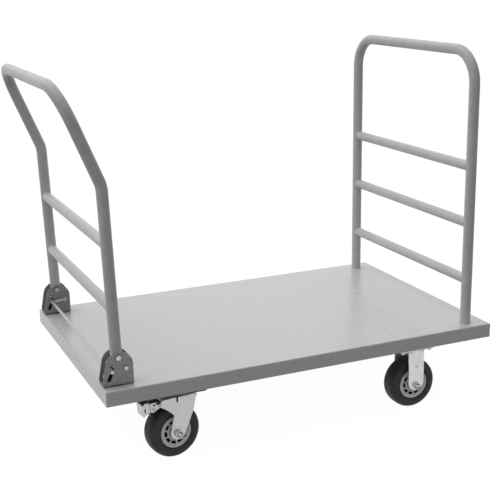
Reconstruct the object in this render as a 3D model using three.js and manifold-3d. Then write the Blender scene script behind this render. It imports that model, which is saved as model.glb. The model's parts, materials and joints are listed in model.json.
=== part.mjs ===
// A folding platform cart: a sheet-steel deck on four casters, with a fixed tube handle at one end
// and a tube handle at the other end that folds down over the deck.
//
// Millimetres. +Z is up and the floor is z = 0. +X runs from the folding handle to the fixed one.
// +Y runs across the cart. x = 0 is halfway along the whole cart, so the deck sits a little off it.

import * as THREE from 'three';
import { mergeVertices } from 'three/addons/utils/BufferGeometryUtils.js';
import Module from 'manifold-3d';

const wasm = await Module();
wasm.setup();

// ---------------------------------------------------------------- driving dimensions

// The gap kept between two pieces that touch on the real cart.
const GAP = 0.3;

// Deck: a pan of folded sheet, 48 x 30 inches, with its top this high above the floor.
const DECK_LENGTH = 1219;
const DECK_WIDTH = 762;
const DECK_HEIGHT = 238;
const SKIRT_DEPTH = 42;
const SHEET = 3;

// Channels under the deck.
const CASTER_CHANNEL_WIDTH = 130;
const MIDDLE_CHANNEL_WIDTH = 80;

// Tubes of both handles.
const TUBE_RADIUS = 16;
const RUNG_RADIUS = 15;
const TUBE_WALL = 2;

// Fixed handle, measured from the deck's middle and top.
const POST_X = 545.8;
const POST_Y = 336.8;
const FIXED_BAR_HEIGHT = 822;
const FIXED_RUNG_HEIGHTS = { lower: 138, middle: 313.6, upper: 486 };
const CORNER_RADIUS = 96;
const SOCKET_DEPTH = 52;
const POST_BOLT_RADIUS = 6;

// Folding handle. It leans a little outwards up to its bend, and more above it.
const PIVOT_X = -562.5;
const PIVOT_HEIGHT = 79.6;
const LEG_Y = 331.3;
const LOWER_LEAN = THREE.MathUtils.degToRad(1.9);
const UPPER_LEAN = THREE.MathUtils.degToRad(22.07);
const LOWER_LENGTH = 459;
const UPPER_LENGTH = 272.25;
const LEAN_BEND_RADIUS = 80;
const FOOT_LENGTH = 26;
const FOLDING_RUNG_PLACES = { lower: 132.4, upper: 304.2 };

// Hinge bracket: two plates this thick that stand either side of the handle's foot.
const BRACKET_PLATE = 3;
const BRACKET_HALF_WIDTH = 20;
const PIVOT_RADIUS = 5;
const SLEEVE_RADIUS = 7.5;

// Latch: a rod in two slots, held up by two springs. Places are (x, z) from the pivot.
const ROD_RADIUS = 4;
const ROD_PLACE = new THREE.Vector2(-18, -38);
const ROD_TRAVEL = 25;
const ROD_DIRECTION = new THREE.Vector2(-0.42, -0.907).normalize();
const SLOT_HALF_WIDTH = 4.6;
const PIN_RADIUS = 4;
const PIN_PLACE = new THREE.Vector2(20, -32);
const SPRING_RADIUS = 4.5;

// Casters. The swivel wheels trail behind their kingpins, turned by the yaw.
const CASTER_Y = 326;
const RIGID_X = 354;
const KINGPIN_X = -379;
const TRAIL = 36;
const YAW = THREE.MathUtils.degToRad(7.3);
const TYRE_RADIUS = 77;
const TYRE_HALF_WIDTH = 27;
const RIM_RADIUS = 44;
const HUB_HALF_LENGTH = 37;
const AXLE_RADIUS = 6;
const LEG_INNER = 38;
const LEG_OUTER = 42;
const PLATE_LENGTH = 114;
const PLATE_WIDTH = 102;
const PLATE_THICKNESS = 5;
const CROWN_THICKNESS = 4;

// Brake on each swivel caster. Places are (x, z) from the kingpin's axis and the floor.
const BRAKE_PIVOT = new THREE.Vector2(-100, 156);
const BRAKE_PIN_RADIUS = 3;
const CHEEK_OUTER = 23;
const CHEEK_INNER = 20;
const PEDAL_SHEET = 3;

// Across the flats of the hexagons on the M10 and M12 fasteners, and how thick they are.
const HEX_FLATS = 17;
const HEAD_THICKNESS = 6.5;
const NUT_THICKNESS = 8;

// ---------------------------------------------------------------- derived places

const handleReach = -PIVOT_X
  + LOWER_LENGTH * Math.sin(LOWER_LEAN)
  + UPPER_LENGTH * Math.sin(UPPER_LEAN)
  + TUBE_RADIUS;
const DECK_X = (handleReach - DECK_LENGTH / 2) / 2;
const SKIRT_BOTTOM = DECK_HEIGHT - SKIRT_DEPTH;
const PLATE_TOP = SKIRT_BOTTOM - GAP;
const PLATE_BOTTOM = PLATE_TOP - PLATE_THICKNESS;
const SIDES = { front: -1, back: 1 };

// ---------------------------------------------------------------- finishes

function finish(color, roughness, metalness) {
  return () => new THREE.MeshStandardMaterial({ color, roughness, metalness });
}

const deckPaint = finish(0xbfc1c4, 0.5, 0.1);
const tubePaint = finish(0x8e9093, 0.45, 0.1);
const darkPaint = finish(0x5f6164, 0.5, 0.2);
const zinc = finish(0xd2d5d8, 0.3, 0.9);
const springSteel = finish(0xb4b6b8, 0.35, 0.9);
const hubPlastic = finish(0x9a9c9e, 0.6, 0);
const tyreRubber = finish(0x232326, 0.8, 0);

// ---------------------------------------------------------------- solids

// A closed three.js geometry as a solid for cutting and joining.
function solid(geometry) {
  const bare = new THREE.BufferGeometry();
  const loose = geometry.index ? geometry.toNonIndexed() : geometry;
  bare.setAttribute('position', loose.getAttribute('position'));
  const merged = mergeVertices(bare, 1e-3);
  const vertProperties = merged.getAttribute('position').array;
  const triVerts = new Uint32Array(merged.index.array);
  const made = new wasm.Manifold(new wasm.Mesh({ numProp: 3, vertProperties, triVerts }));
  if (made.volume() > 0) {
    return made;
  }
  for (let i = 0; i < triVerts.length; i += 3) {
    [triVerts[i + 1], triVerts[i + 2]] = [triVerts[i + 2], triVerts[i + 1]];
  }
  return new wasm.Manifold(new wasm.Mesh({ numProp: 3, vertProperties, triVerts }));
}

function joined(...pieces) {
  return pieces.reduce((whole, piece) => whole.add(piece));
}

function cut(whole, ...tools) {
  return tools.reduce((rest, tool) => rest.subtract(tool), whole);
}

// A solid as a three.js mesh with its name, its finish and its parent.
function place(parent, name, shape, material) {
  const { vertProperties, triVerts } = shape.getMesh();
  const indexed = new THREE.BufferGeometry();
  indexed.setAttribute('position', new THREE.BufferAttribute(vertProperties, 3));
  indexed.setIndex(new THREE.BufferAttribute(triVerts, 1));
  const geometry = indexed.toNonIndexed();
  geometry.computeVertexNormals();
  const mesh = new THREE.Mesh(geometry, material());
  mesh.name = name;
  parent.add(mesh);
}

// A box between two corners.
function block(low, high) {
  const size = high.map((value, i) => value - low[i]);
  const middle = high.map((value, i) => (value + low[i]) / 2);
  return solid(new THREE.BoxGeometry(...size).translate(...middle));
}

// A round bar along Y, from one y to another, at a place (x, z).
function barAlongY(radius, [x, z], yFrom, yTo, sides = 12) {
  const bar = new THREE.CylinderGeometry(radius, radius, yTo - yFrom, sides);
  return solid(bar.translate(x, (yFrom + yTo) / 2, z));
}

// A round bar along Z, from one z to another, at a place (x, y).
function barAlongZ(radius, [x, y], zFrom, zTo, sides = 12) {
  const bar = new THREE.CylinderGeometry(radius, radius, zTo - zFrom, sides);
  return solid(bar.rotateX(Math.PI / 2).translate(x, y, (zFrom + zTo) / 2));
}

function hexAlongY(place2, yFrom, yTo) {
  return barAlongY(HEX_FLATS / Math.sqrt(3), place2, yFrom, yTo, 6);
}

// An outline in X and Z, as a plate from one y to another.
function uprightPlate(outline, yFrom, yTo, curveSegments = 8) {
  const options = { depth: yTo - yFrom, bevelEnabled: false, curveSegments };
  return solid(new THREE.ExtrudeGeometry(outline, options).rotateX(Math.PI / 2).translate(0, yTo, 0));
}

// An outline in X and Y, as a plate from one z to another.
function levelPlate(outline, zFrom, zTo, curveSegments = 4) {
  const options = { depth: zTo - zFrom, bevelEnabled: false, curveSegments };
  return solid(new THREE.ExtrudeGeometry(outline, options).translate(0, 0, zFrom));
}

function roundedRectangle(length, width, radius) {
  const x = length / 2 - radius;
  const y = width / 2 - radius;
  return new THREE.Shape()
    .absarc(x, y, radius, 0, Math.PI / 2)
    .absarc(-x, y, radius, Math.PI / 2, Math.PI)
    .absarc(-x, -y, radius, Math.PI, Math.PI * 1.5)
    .absarc(x, -y, radius, Math.PI * 1.5, Math.PI * 2)
    .closePath();
}

// A ring of revolution about Y, from a profile of [radius, y] that closes on itself.
function turned(profile, segments) {
  const points = [...profile, profile[0]].map(([radius, y]) => new THREE.Vector2(radius, y));
  return solid(new THREE.LatheGeometry(points, segments));
}

// ---------------------------------------------------------------- bent tubes

// The places and directions along one round bend at a corner of a path.
function bendStations(before, corner, after, radius, steps) {
  const incoming = corner.clone().sub(before).normalize();
  const outgoing = after.clone().sub(corner).normalize();
  const turn = incoming.angleTo(outgoing);
  const start = corner.clone().addScaledVector(incoming, -radius * Math.tan(turn / 2));
  const inward = outgoing.clone().addScaledVector(incoming, -Math.cos(turn)).normalize();
  return Array.from({ length: steps + 1 }, (_, step) => {
    const angle = turn * step / steps;
    return {
      point: start.clone()
        .addScaledVector(incoming, radius * Math.sin(angle))
        .addScaledVector(inward, radius * (1 - Math.cos(angle))),
      tangent: incoming.clone()
        .multiplyScalar(Math.cos(angle))
        .addScaledVector(inward, Math.sin(angle)),
    };
  });
}

// A path of straight runs joined by round bends, with its stations only at the ends and in the bends.
class BentPath extends THREE.Curve {
  constructor(corners, bends) {
    super();
    const last = corners.length - 1;
    const firstDirection = corners[1].clone().sub(corners[0]).normalize();
    const lastDirection = corners[last].clone().sub(corners[last - 1]).normalize();
    this.stations = [{ point: corners[0], tangent: firstDirection }];
    bends.forEach(({ radius, steps }, i) => {
      this.stations.push(...bendStations(corners[i], corners[i + 1], corners[i + 2], radius, steps));
    });
    this.stations.push({ point: corners[last], tangent: lastDirection });
  }

  stationAt(t) {
    return this.stations[Math.round(t * (this.stations.length - 1))];
  }

  getPoint(t) {
    return this.stationAt(t).point.clone();
  }

  getTangent(t) {
    return this.stationAt(t).tangent.clone();
  }

  getUtoTmapping(u) {
    return u;
  }
}

function sweep(section, path, curveSegments = 6) {
  const steps = path.stations.length - 1;
  return solid(new THREE.ExtrudeGeometry(section, { steps, extrudePath: path, curveSegments }));
}

function tubeSection(radius) {
  const section = new THREE.Shape().absarc(0, 0, radius, 0, Math.PI * 2);
  section.holes.push(new THREE.Path().absarc(0, 0, radius - TUBE_WALL, 0, Math.PI * 2, true));
  return section;
}

// A rung across the cart whose ends are coped round the two legs, at (0, z) in the legs' own frame.
function copedRung(z, legY) {
  const tube = cut(
    barAlongY(RUNG_RADIUS, [0, z], -legY, legY),
    barAlongY(RUNG_RADIUS - TUBE_WALL, [0, z], -legY - 1, legY + 1),
  );
  const reach = TUBE_RADIUS * 2;
  const legs = Object.values(SIDES).map(
    (side) => barAlongZ(TUBE_RADIUS + GAP, [0, side * legY], z - reach, z + reach, 24),
  );
  return cut(tube, ...legs);
}

// ---------------------------------------------------------------- deck

function deckPan() {
  const [x, y] = [DECK_LENGTH / 2, DECK_WIDTH / 2];
  const outside = block([-x, -y, SKIRT_BOTTOM], [x, y, DECK_HEIGHT]);
  const inside = block(
    [-x + SHEET, -y + SHEET, SKIRT_BOTTOM - 1],
    [x - SHEET, y - SHEET, DECK_HEIGHT - SHEET],
  );
  const postHoles = Object.values(SIDES).map(
    (side) => barAlongZ(TUBE_RADIUS + GAP, [POST_X, side * POST_Y], SKIRT_BOTTOM, DECK_HEIGHT + 1, 32),
  );
  return cut(outside, inside, ...postHoles);
}

// A channel across the cart, open at the top, with its web level with the skirt's bottom edge.
function channel(x, width) {
  const halfLength = DECK_WIDTH / 2 - SHEET - GAP;
  const top = DECK_HEIGHT - SHEET - GAP;
  const outside = block([x - width / 2, -halfLength, SKIRT_BOTTOM], [x + width / 2, halfLength, top]);
  const inside = block(
    [x - width / 2 + SHEET, -halfLength - 1, SKIRT_BOTTOM + SHEET],
    [x + width / 2 - SHEET, halfLength + 1, top + 1],
  );
  return cut(outside, inside);
}

// ---------------------------------------------------------------- fixed handle

const POST_FOOT = DECK_HEIGHT - SOCKET_DEPTH + SHEET + GAP;
const POST_PLUG = 18;

function fixedHandleTube() {
  const top = DECK_HEIGHT + FIXED_BAR_HEIGHT;
  const corners = [
    new THREE.Vector3(0, -POST_Y, POST_FOOT),
    new THREE.Vector3(0, -POST_Y, top),
    new THREE.Vector3(0, POST_Y, top),
    new THREE.Vector3(0, POST_Y, POST_FOOT),
  ];
  const bend = { radius: CORNER_RADIUS, steps: 5 };
  const tube = sweep(tubeSection(TUBE_RADIUS), new BentPath(corners, [bend, bend]));
  const plugs = Object.values(SIDES).map((side) => cut(
    barAlongZ(TUBE_RADIUS - TUBE_WALL / 2, [0, side * POST_Y], POST_FOOT, POST_FOOT + POST_PLUG),
    barAlongZ(POST_BOLT_RADIUS + GAP, [0, side * POST_Y], POST_FOOT - 1, POST_FOOT + POST_PLUG + 1),
  ));
  return joined(tube, ...plugs);
}

// A cup under the deck that holds the post's foot, with a hole for the bolt in its floor.
function postSocket(side) {
  const top = DECK_HEIGHT - SHEET - GAP;
  const bottom = DECK_HEIGHT - SOCKET_DEPTH;
  const centre = [0, side * POST_Y];
  return cut(
    barAlongZ(TUBE_RADIUS + SHEET + GAP, centre, bottom, top, 24),
    barAlongZ(TUBE_RADIUS + GAP, centre, bottom + SHEET, top + 1, 24),
    barAlongZ(POST_BOLT_RADIUS + GAP, centre, bottom - 1, bottom + SHEET + 1),
  );
}

function postBolt(side) {
  const seat = DECK_HEIGHT - SOCKET_DEPTH - GAP;
  const centre = [0, side * POST_Y];
  return joined(
    barAlongZ(HEX_FLATS / Math.sqrt(3), centre, seat - HEAD_THICKNESS, seat, 6),
    barAlongZ(POST_BOLT_RADIUS, centre, seat - 1, POST_FOOT + POST_PLUG),
  );
}

function addFixedHandle(deck) {
  const handle = new THREE.Group();
  handle.position.x = POST_X;
  deck.add(handle);
  place(handle, 'fixed_handle_tube', fixedHandleTube(), tubePaint);
  for (const [name, height] of Object.entries(FIXED_RUNG_HEIGHTS)) {
    place(handle, `fixed_rung_${name}`, copedRung(DECK_HEIGHT + height, POST_Y), tubePaint);
  }
  for (const [name, side] of Object.entries(SIDES)) {
    place(handle, `post_socket_${name}`, postSocket(side), deckPaint);
    place(handle, `post_bolt_${name}`, postBolt(side), zinc);
  }
}

// ---------------------------------------------------------------- folding handle

const SLEEVE_BORE = PIVOT_RADIUS + GAP;

// The bent tube in its own frame: the pivot at the origin and the lower legs along Z.
function foldingHandleTube() {
  const bendAngle = UPPER_LEAN - LOWER_LEAN;
  const topX = -UPPER_LENGTH * Math.sin(bendAngle);
  const topZ = LOWER_LENGTH + UPPER_LENGTH * Math.cos(bendAngle);
  const corners = [
    new THREE.Vector3(0, -LEG_Y, -FOOT_LENGTH),
    new THREE.Vector3(0, -LEG_Y, LOWER_LENGTH),
    new THREE.Vector3(topX, -LEG_Y, topZ),
    new THREE.Vector3(topX, LEG_Y, topZ),
    new THREE.Vector3(0, LEG_Y, LOWER_LENGTH),
    new THREE.Vector3(0, LEG_Y, -FOOT_LENGTH),
  ];
  const lean = { radius: LEAN_BEND_RADIUS, steps: 2 };
  const corner = { radius: CORNER_RADIUS, steps: 5 };
  const tube = sweep(tubeSection(TUBE_RADIUS), new BentPath(corners, [lean, corner, corner, lean]));
  const sleeveHoles = Object.values(SIDES).map((side) => barAlongY(
    SLEEVE_RADIUS + GAP,
    [0, 0],
    side * LEG_Y - TUBE_RADIUS - 1,
    side * LEG_Y + TUBE_RADIUS + 1,
  ));
  return cut(tube, ...sleeveHoles);
}

function pivotSleeve(side) {
  const half = BRACKET_HALF_WIDTH - BRACKET_PLATE - GAP;
  return cut(
    barAlongY(SLEEVE_RADIUS, [0, 0], side * LEG_Y - half, side * LEG_Y + half),
    barAlongY(SLEEVE_BORE, [0, 0], side * LEG_Y - half - 1, side * LEG_Y + half + 1),
  );
}

function addFoldingHandle(deck) {
  const handle = new THREE.Group();
  handle.position.set(PIVOT_X, 0, DECK_HEIGHT + PIVOT_HEIGHT);
  handle.rotation.y = -LOWER_LEAN;
  deck.add(handle);
  place(handle, 'folding_handle_tube', foldingHandleTube(), tubePaint);
  for (const [name, height] of Object.entries(FOLDING_RUNG_PLACES)) {
    place(handle, `folding_rung_${name}`, copedRung(height, LEG_Y), tubePaint);
  }
  for (const [name, side] of Object.entries(SIDES)) {
    place(handle, `pivot_sleeve_${name}`, pivotSleeve(side), zinc);
  }
}

// ---------------------------------------------------------------- hinge brackets and latch

// The bracket plate's outline: a slanted outer edge, a round head and an upright inner edge.
function bracketOutline() {
  const bottom = GAP - PIVOT_HEIGHT;
  const headRadius = 38;
  const headCentre = new THREE.Vector2(2, 57 - PIVOT_HEIGHT);
  const slant = THREE.MathUtils.degToRad(170);
  return new THREE.Shape()
    .moveTo(40, bottom)
    .lineTo(headCentre.x + headRadius, headCentre.y)
    .absarc(headCentre.x, headCentre.y, headRadius, 0, slant)
    .lineTo(-45, bottom + 14)
    .lineTo(-43, bottom)
    .closePath();
}

// The slot that the lock rod slides in, with a narrow notch across its top end.
function slotTools() {
  const end = ROD_PLACE.clone().addScaledVector(ROD_DIRECTION, ROD_TRAVEL);
  const across = new THREE.Vector2(-ROD_DIRECTION.y, ROD_DIRECTION.x).multiplyScalar(SLOT_HALF_WIDTH);
  const corner = (centre, sign) => centre.clone().addScaledVector(across, sign);
  const body = new THREE.Shape([
    corner(ROD_PLACE, 1),
    corner(ROD_PLACE, -1),
    corner(end, -1),
    corner(end, 1),
  ]);
  const notch = new THREE.Shape([
    new THREE.Vector2(-25.2, -21.2),
    new THREE.Vector2(-22.2, -18.4),
    new THREE.Vector2(-11.2, -31.2),
    new THREE.Vector2(-14.2, -33.8),
  ]);
  const reach = BRACKET_HALF_WIDTH + 1;
  return [
    uprightPlate(body, -reach, reach),
    barAlongY(SLOT_HALF_WIDTH, ROD_PLACE, -reach, reach),
    barAlongY(SLOT_HALF_WIDTH, end, -reach, reach),
    uprightPlate(notch, -reach, reach),
  ];
}

function hingeBracket() {
  const bottom = GAP - PIVOT_HEIGHT;
  const inside = BRACKET_HALF_WIDTH - BRACKET_PLATE;
  const reach = BRACKET_HALF_WIDTH + 1;
  return cut(
    uprightPlate(bracketOutline(), -BRACKET_HALF_WIDTH, BRACKET_HALF_WIDTH, 7),
    block([-60, -inside, bottom + BRACKET_PLATE], [60, inside, 60]),
    barAlongY(PIVOT_RADIUS + GAP, [0, 0], -reach, reach),
    barAlongY(PIN_RADIUS + GAP, PIN_PLACE, -reach, reach),
    ...slotTools(),
  );
}

// The bolt's head is on the front of both brackets and its nut is behind.
function pivotBolt() {
  const seat = -BRACKET_HALF_WIDTH - GAP;
  return joined(
    hexAlongY([0, 0], seat - HEAD_THICKNESS, seat),
    barAlongY(PIVOT_RADIUS, [0, 0], seat - 1, BRACKET_HALF_WIDTH + NUT_THICKNESS + 3),
  );
}

function nut(boreRadius, yFrom) {
  return cut(
    hexAlongY([0, 0], yFrom, yFrom + NUT_THICKNESS),
    barAlongY(boreRadius + GAP, [0, 0], yFrom - 1, yFrom + NUT_THICKNESS + 1),
  );
}

const SPRING_Y = BRACKET_HALF_WIDTH + 6;
const PIN_HEAD_RADIUS = 6.5;
const PIN_HEAD = 3;

// A headed pin through both plates. Its inner end stands out and holds the spring.
function springPin(side) {
  const outer = side * (BRACKET_HALF_WIDTH + GAP);
  const inner = -side * (SPRING_Y + SPRING_RADIUS + 3);
  const [head, tip] = [outer + side * PIN_HEAD, inner + side * 2];
  return joined(
    barAlongY(PIN_RADIUS, PIN_PLACE, Math.min(head, inner), Math.max(head, inner)),
    barAlongY(PIN_HEAD_RADIUS, PIN_PLACE, Math.min(outer, head), Math.max(outer, head)),
    barAlongY(PIN_HEAD_RADIUS - 1, PIN_PLACE, Math.min(inner, tip), Math.max(inner, tip)),
  );
}

// A tension spring from the rod to the pin, as its barrel with an eye at each end.
function latchSpring(side) {
  const wire = 1.6;
  const y = -side * SPRING_Y;
  const along = PIN_PLACE.clone().sub(ROD_PLACE);
  const eye = (centre, radius) => cut(
    barAlongY(radius + wire, centre, y - wire / 2, y + wire / 2),
    barAlongY(radius, centre, y - wire, y + wire),
  );
  const middle = ROD_PLACE.clone().lerp(PIN_PLACE, 0.5);
  const barrelLength = along.length() - 2 * (ROD_RADIUS + GAP) - wire;
  const barrel = new THREE.CylinderGeometry(SPRING_RADIUS, SPRING_RADIUS, barrelLength, 12)
    .rotateZ(-Math.PI / 2)
    .rotateY(-along.angle())
    .translate(middle.x, y, middle.y);
  return joined(solid(barrel), eye(ROD_PLACE, ROD_RADIUS + GAP), eye(PIN_PLACE, PIN_RADIUS + GAP));
}

const ROD_HALF_LENGTH = LEG_Y + BRACKET_HALF_WIDTH + GAP + PIN_HEAD - 1;

// The cap closes the end of the rod outside the bracket, with a blind bore over the rod's end.
function rodCap(side) {
  const from = LEG_Y + BRACKET_HALF_WIDTH + GAP;
  const [y1, y2] = [side * from, side * (from + PIN_HEAD + 1)];
  const bore = side * (ROD_HALF_LENGTH + GAP);
  return cut(
    barAlongY(PIN_HEAD_RADIUS, ROD_PLACE, Math.min(y1, y2), Math.max(y1, y2)),
    barAlongY(ROD_RADIUS + GAP, ROD_PLACE, Math.min(y1 - side, bore), Math.max(y1 - side, bore)),
  );
}

function addHinges(deck) {
  for (const [name, side] of Object.entries(SIDES)) {
    const hinge = new THREE.Group();
    hinge.position.set(PIVOT_X, side * LEG_Y, DECK_HEIGHT + PIVOT_HEIGHT);
    deck.add(hinge);
    place(hinge, `hinge_bracket_${name}`, hingeBracket(), darkPaint);
    place(hinge, `pivot_bolt_${name}`, pivotBolt(), zinc);
    place(hinge, `pivot_nut_${name}`, nut(PIVOT_RADIUS, BRACKET_HALF_WIDTH + GAP), zinc);
    place(hinge, `spring_pin_${name}`, springPin(side), zinc);
    place(hinge, `latch_spring_${name}`, latchSpring(side), springSteel);
  }
  const latch = new THREE.Group();
  latch.position.set(PIVOT_X, 0, DECK_HEIGHT + PIVOT_HEIGHT);
  deck.add(latch);
  place(latch, 'lock_rod', barAlongY(ROD_RADIUS, ROD_PLACE, -ROD_HALF_LENGTH, ROD_HALF_LENGTH), zinc);
  for (const [name, side] of Object.entries(SIDES)) {
    place(latch, `rod_cap_${name}`, rodCap(side), zinc);
  }
}

// ---------------------------------------------------------------- wheels

function tyre() {
  const bead = RIM_RADIUS + GAP;
  const shoulder = 54;
  const steps = 8;
  const tread = Array.from({ length: steps + 1 }, (_, step) => {
    const angle = Math.PI * (step / steps - 0.5);
    const [across, out] = [Math.sin(angle), Math.cos(angle)];
    return [
      shoulder + (TYRE_RADIUS - shoulder) * Math.max(out, 0) ** 0.7,
      TYRE_HALF_WIDTH * Math.sign(across) * Math.abs(across) ** 0.7,
    ];
  });
  const inside = TYRE_HALF_WIDTH - 1;
  return turned([[bead, -inside], ...tread, [bead, inside]], 28);
}

// A hub with a thin web between its core and its rim, and a bore for the axle.
function hub() {
  const bore = AXLE_RADIUS + GAP;
  const [core, web] = [22, 12];
  const half = [
    [bore, HUB_HALF_LENGTH],
    [14, HUB_HALF_LENGTH],
    [core, HUB_HALF_LENGTH - 7],
    [core, web],
    [RIM_RADIUS - 7, web],
    [RIM_RADIUS - 5, TYRE_HALF_WIDTH],
    [RIM_RADIUS, TYRE_HALF_WIDTH],
  ];
  const mirrored = half.map(([radius, y]) => [radius, -y]).reverse();
  return turned([...half, ...mirrored], 20);
}

// A bolt with its head at the back and its end just proud of the nut at the front.
function axleBolt() {
  const seat = LEG_OUTER + GAP;
  const tip = -LEG_OUTER - NUT_THICKNESS - 2 * GAP;
  return joined(
    hexAlongY([0, 0], seat, seat + HEAD_THICKNESS),
    barAlongY(AXLE_RADIUS, [0, 0], tip, seat + 1),
  );
}

function addWheel(parent, kind, name, x) {
  const wheel = new THREE.Group();
  wheel.position.set(x, 0, TYRE_RADIUS);
  parent.add(wheel);
  place(wheel, `${kind}_axle_bolt_${name}`, axleBolt(), zinc);
  place(wheel, `${kind}_axle_nut_${name}`, nut(AXLE_RADIUS, -LEG_OUTER - GAP - NUT_THICKNESS), zinc);
  place(wheel, `${kind}_hub_${name}`, hub(), hubPlastic);
  place(wheel, `${kind}_tyre_${name}`, tyre(), tyreRubber);
}

// ---------------------------------------------------------------- forks

function mountingPlate() {
  return levelPlate(roundedRectangle(PLATE_LENGTH, PLATE_WIDTH, 10), PLATE_BOTTOM, PLATE_TOP);
}

// Two legs of one outline with the axle's holes, joined to a crown.
function fork(legOutline, crown, axleX) {
  const reach = LEG_OUTER + 1;
  const legs = Object.values(SIDES).map((side) => uprightPlate(
    legOutline,
    Math.min(side * LEG_INNER, side * LEG_OUTER),
    Math.max(side * LEG_INNER, side * LEG_OUTER),
    6,
  ));
  return cut(joined(crown, ...legs), barAlongY(AXLE_RADIUS + GAP, [axleX, TYRE_RADIUS], -reach, reach));
}

function rigidFork() {
  const halfWidth = 26;
  const top = PLATE_BOTTOM - GAP;
  const roundCentre = TYRE_RADIUS + 11;
  const leg = new THREE.Shape()
    .moveTo(halfWidth, top)
    .lineTo(-halfWidth, top)
    .lineTo(-halfWidth, roundCentre)
    .absarc(0, roundCentre, halfWidth, Math.PI, 2 * Math.PI)
    .closePath();
  const crown = block([-halfWidth, -LEG_OUTER, top - CROWN_THICKNESS], [halfWidth, LEG_OUTER, top]);
  return fork(leg, crown, 0);
}

const RACE_THICKNESS = 6;
const CROWN_TOP = PLATE_BOTTOM - RACE_THICKNESS - 2 * GAP;
const KINGPIN_RADIUS = 8;

// Each leg slants from the crown down to the axle, with a wing that arches over the tyre.
function swivelFork() {
  const wingEnd = -80;
  const roundCentre = new THREE.Vector2(-TRAIL, TYRE_RADIUS + 5);
  const roundRadius = 22;
  const leg = new THREE.Shape()
    .moveTo(22, CROWN_TOP)
    .lineTo(wingEnd, CROWN_TOP)
    .lineTo(wingEnd - 8, CROWN_TOP - 18)
    .quadraticCurveTo(-62, 152, -46, 132)
    .lineTo(roundCentre.x - roundRadius, roundCentre.y + 4)
    .absarc(roundCentre.x, roundCentre.y, roundRadius, Math.PI * 0.95, Math.PI * 1.92)
    .lineTo(13, 139)
    .closePath();
  const back = wingEnd + 4;
  const crownOutline = new THREE.Shape()
    .moveTo(back, -LEG_OUTER)
    .lineTo(0, -LEG_OUTER)
    .absarc(0, 0, LEG_OUTER, -Math.PI / 2, Math.PI / 2)
    .lineTo(back, LEG_OUTER)
    .closePath();
  const crown = cut(
    levelPlate(crownOutline, CROWN_TOP - CROWN_THICKNESS, CROWN_TOP, 10),
    barAlongZ(KINGPIN_RADIUS + GAP, [0, 0], CROWN_TOP - 10, CROWN_TOP + 1, 16),
  );
  return fork(leg, crown, -TRAIL);
}

// The kingpin with the bearing race above the crown and its head below.
function kingpin() {
  const raceTop = PLATE_BOTTOM - GAP;
  const headTop = CROWN_TOP - CROWN_THICKNESS - GAP;
  return joined(
    barAlongZ(36, [0, 0], raceTop - RACE_THICKNESS, raceTop, 24),
    barAlongZ(KINGPIN_RADIUS, [0, 0], headTop - 1, raceTop - 1),
    barAlongZ(14, [0, 0], headTop - 6, headTop, 6),
  );
}

// ---------------------------------------------------------------- brake

const CHEEK_TOP = CROWN_TOP - CROWN_THICKNESS - GAP;

// A downward channel riveted under the fork's crown. The pedal's pin crosses its two cheeks.
function brakeBracket() {
  const cheek = new THREE.Shape()
    .moveTo(-60, CHEEK_TOP)
    .lineTo(-108, CHEEK_TOP)
    .lineTo(-108, BRAKE_PIVOT.y)
    .absarc(BRAKE_PIVOT.x, BRAKE_PIVOT.y, 8, Math.PI, Math.PI * 1.75)
    .lineTo(-60, CHEEK_TOP - 12)
    .closePath();
  return joined(
    cut(
      uprightPlate(cheek, -CHEEK_OUTER, CHEEK_OUTER, 6),
      block([-120, -CHEEK_INNER, 100], [-50, CHEEK_INNER, CHEEK_TOP - PEDAL_SHEET]),
    ),
    barAlongY(BRAKE_PIN_RADIUS, BRAKE_PIVOT, -CHEEK_OUTER - 1, CHEEK_OUTER + 1, 12),
  );
}

// One bent strip from the shoe beside the tyre, past the pivot, to the toe. Its sides reach the pivot's pin.
function brakePedal() {
  const route = [
    [-99.5, 131],
    [-110, 150],
    [-111.5, 173.5],
    [-124, 177],
    [-128.5, 168],
    [-125.5, 138],
  ];
  const corners = route.map(([x, z]) => new THREE.Vector3(x, 0, z));
  const bends = [8, 4, 5, 14].map((radius) => ({ radius, steps: 3 }));
  const halfWidth = CHEEK_INNER - GAP;
  const section = new THREE.Shape([
    new THREE.Vector2(-halfWidth, -PEDAL_SHEET / 2),
    new THREE.Vector2(halfWidth, -PEDAL_SHEET / 2),
    new THREE.Vector2(halfWidth, PEDAL_SHEET / 2),
    new THREE.Vector2(-halfWidth, PEDAL_SHEET / 2),
  ]);
  const strip = sweep(section, new BentPath(corners, bends));
  const ear = new THREE.Shape()
    .moveTo(-124, 174)
    .lineTo(-127, 165)
    .lineTo(BRAKE_PIVOT.x - 9, BRAKE_PIVOT.y - 6.5)
    .lineTo(BRAKE_PIVOT.x, BRAKE_PIVOT.y - 6.5)
    .absarc(BRAKE_PIVOT.x, BRAKE_PIVOT.y, 6.5, -Math.PI / 2, Math.PI / 2)
    .lineTo(-111.5, 173)
    .closePath();
  const ears = Object.values(SIDES).map((side) => {
    const [y1, y2] = [side * halfWidth, side * (halfWidth - PEDAL_SHEET)];
    return uprightPlate(ear, Math.min(y1, y2), Math.max(y1, y2), 4);
  });
  return cut(
    joined(strip, ...ears),
    barAlongY(BRAKE_PIN_RADIUS + GAP, BRAKE_PIVOT, -halfWidth - 1, halfWidth + 1, 12),
  );
}

// ---------------------------------------------------------------- casters

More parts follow.
